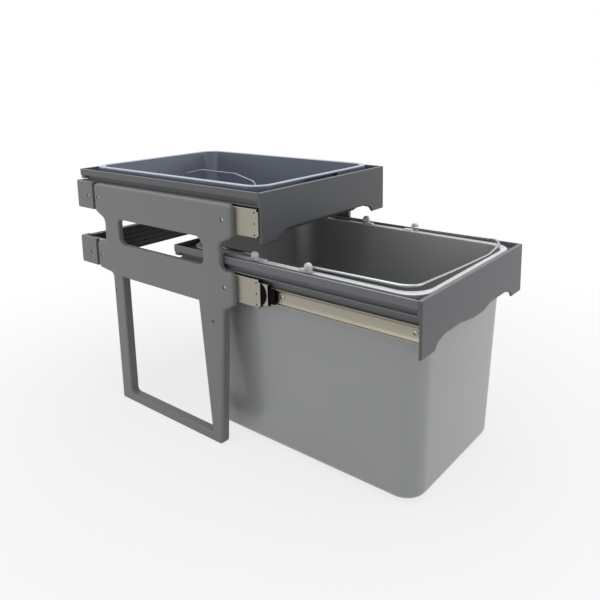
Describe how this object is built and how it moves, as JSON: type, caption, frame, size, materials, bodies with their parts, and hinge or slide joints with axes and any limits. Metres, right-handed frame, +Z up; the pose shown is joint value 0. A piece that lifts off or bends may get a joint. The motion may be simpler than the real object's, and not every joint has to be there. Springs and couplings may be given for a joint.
{
  "type": "pull out waste bin unit",
  "caption": "Pull-out cabinet waste unit: side brackets and ball bearing slides carry a closed upper tray drawer and a pulled-out lower drawer holding a tall bin with hinged liner hoops.",
  "frame": {"origin": "middle of the space the unit takes up with the lower drawer pulled out, on the floor under the bracket feet", "axes": "+Z up; the drawers pull out towards -Y; +X is to the right for someone facing +Y, the way the drawers push in"},
  "size_m": [0.364, 0.745, 0.44],
  "materials": {
    "bracket_plastic": "fine matt moulded grey plastic",
    "cap_plastic": "fine matt moulded grey plastic",
    "rear_rail_dark": "dark ribbed plastic",
    "frame_paint": "satin grey powder coat",
    "upper_frame_paint": "satin grey powder coat, a shade darker",
    "slide_zinc": "zinc plated sheet steel, slightly warm",
    "black_plastic": "black plastic",
    "ball_steel": "polished steel",
    "screw_steel": "bright plated steel",
    "tray_plastic": "satin blue grey plastic",
    "bin_plastic": "satin metallic grey plastic",
    "hoop_wire": "bright chromed wire",
    "clip_plastic": "glossy pale grey plastic"
  },
  "bodies": {
    "root": {"left_side_bracket": "bracket_plastic", "right_side_bracket": "bracket_plastic", "bracket_screws": "screw_steel", "rear_cap_screws": "screw_steel", "left_upper_rear_cap": "cap_plastic", "right_upper_rear_cap": "cap_plastic", "upper_cross_rail": "rear_rail_dark", "left_upper_outer_slide": "slide_zinc", "right_upper_outer_slide": "slide_zinc", "left_lower_rear_cap": "cap_plastic", "right_lower_rear_cap": "cap_plastic", "lower_cross_rail": "rear_rail_dark", "left_lower_outer_slide": "slide_zinc", "right_lower_outer_slide": "slide_zinc"},
    "upper_middle_slides": {"left_upper_middle_slide": "slide_zinc", "right_upper_middle_slide": "slide_zinc", "upper_slide_bumpers": "black_plastic"},
    "upper_drawer": {"upper_front_panel": "upper_frame_paint", "left_upper_side_rail": "frame_paint", "right_upper_side_rail": "frame_paint", "upper_rear_rail": "frame_paint", "upper_rail_screws": "screw_steel", "left_upper_inner_slide": "slide_zinc", "right_upper_inner_slide": "slide_zinc"},
    "upper_outer_cages": {"upper_outer_ball_cages": "black_plastic", "upper_outer_balls": "ball_steel"},
    "upper_inner_cages": {"upper_inner_ball_cages": "black_plastic", "upper_inner_balls": "ball_steel"},
    "lower_middle_slides": {"left_lower_middle_slide": "slide_zinc", "right_lower_middle_slide": "slide_zinc", "lower_slide_bumpers": "black_plastic"},
    "lower_drawer": {"lower_front_panel": "frame_paint", "left_lower_side_rail": "frame_paint", "right_lower_side_rail": "frame_paint", "lower_rear_rail": "frame_paint", "lower_rail_screws": "screw_steel", "left_lower_inner_slide": "slide_zinc", "right_lower_inner_slide": "slide_zinc"},
    "lower_outer_cages": {"lower_outer_ball_cages": "black_plastic", "lower_outer_balls": "ball_steel"},
    "lower_inner_cages": {"lower_inner_ball_cages": "black_plastic", "lower_inner_balls": "ball_steel"},
    "tray": {"tray": "tray_plastic", "tray_handle": "hoop_wire"},
    "bin": {"waste_bin": "bin_plastic", "front_hoop_clips": "clip_plastic", "rear_hoop_clips": "clip_plastic"},
    "front_hoop": {"front_liner_hoop": "hoop_wire"},
    "rear_hoop": {"rear_liner_hoop": "hoop_wire"}
  },
  "joints": [
    {"name": "upper_middle_travel", "type": "slide", "parent": "root", "child": "upper_middle_slides", "axis": [0, 1, 0], "range_m": [-0.194, 0]},
    {"name": "upper_drawer_travel", "type": "slide", "parent": "upper_middle_slides", "child": "upper_drawer", "axis": [0, 1, 0], "range_m": [-0.256, 0]},
    {"name": "lower_middle_travel", "type": "slide", "parent": "root", "child": "lower_middle_slides", "axis": [0, -1, 0], "range_m": [-0.013, 0.181]},
    {"name": "lower_drawer_travel", "type": "slide", "parent": "lower_middle_slides", "child": "lower_drawer", "axis": [0, -1, 0], "range_m": [-0.256, 0]},
    {"name": "upper_outer_cage_travel", "type": "slide", "parent": "root", "child": "upper_outer_cages", "axis": [0, 1, 0], "range_m": [-0.097, 0]},
    {"name": "upper_inner_cage_travel", "type": "slide", "parent": "upper_middle_slides", "child": "upper_inner_cages", "axis": [0, 1, 0], "range_m": [-0.128, 0]},
    {"name": "lower_outer_cage_travel", "type": "slide", "parent": "root", "child": "lower_outer_cages", "axis": [0, -1, 0], "range_m": [-0.0065, 0.0905]},
    {"name": "lower_inner_cage_travel", "type": "slide", "parent": "lower_middle_slides", "child": "lower_inner_cages", "axis": [0, -1, 0], "range_m": [-0.128, 0]},
    {"name": "tray_lift", "type": "slide", "parent": "upper_drawer", "child": "tray", "axis": [0, 0, 1], "range_m": [0, 0.12]},
    {"name": "bin_lift", "type": "slide", "parent": "lower_drawer", "child": "bin", "axis": [0, 0, 1], "range_m": [0, 0.012]},
    {"name": "front_hoop_swing", "type": "hinge", "parent": "bin", "child": "front_hoop", "pos_m": [0, -0.18, 0.331], "axis": [-1, 0, 0], "range_deg": [0, 95]},
    {"name": "rear_hoop_swing", "type": "hinge", "parent": "bin", "child": "rear_hoop", "pos_m": [0, -0.0748, 0.331], "axis": [1, 0, 0], "range_deg": [0, 6]}
  ],
  "couplings": [
    {"joint": "upper_outer_cage_travel", "follows": "upper_middle_travel", "ratio": 0.5},
    {"joint": "upper_inner_cage_travel", "follows": "upper_drawer_travel", "ratio": 0.5},
    {"joint": "lower_outer_cage_travel", "follows": "lower_middle_travel", "ratio": 0.5},
    {"joint": "lower_inner_cage_travel", "follows": "lower_drawer_travel", "ratio": 0.5}
  ]
}
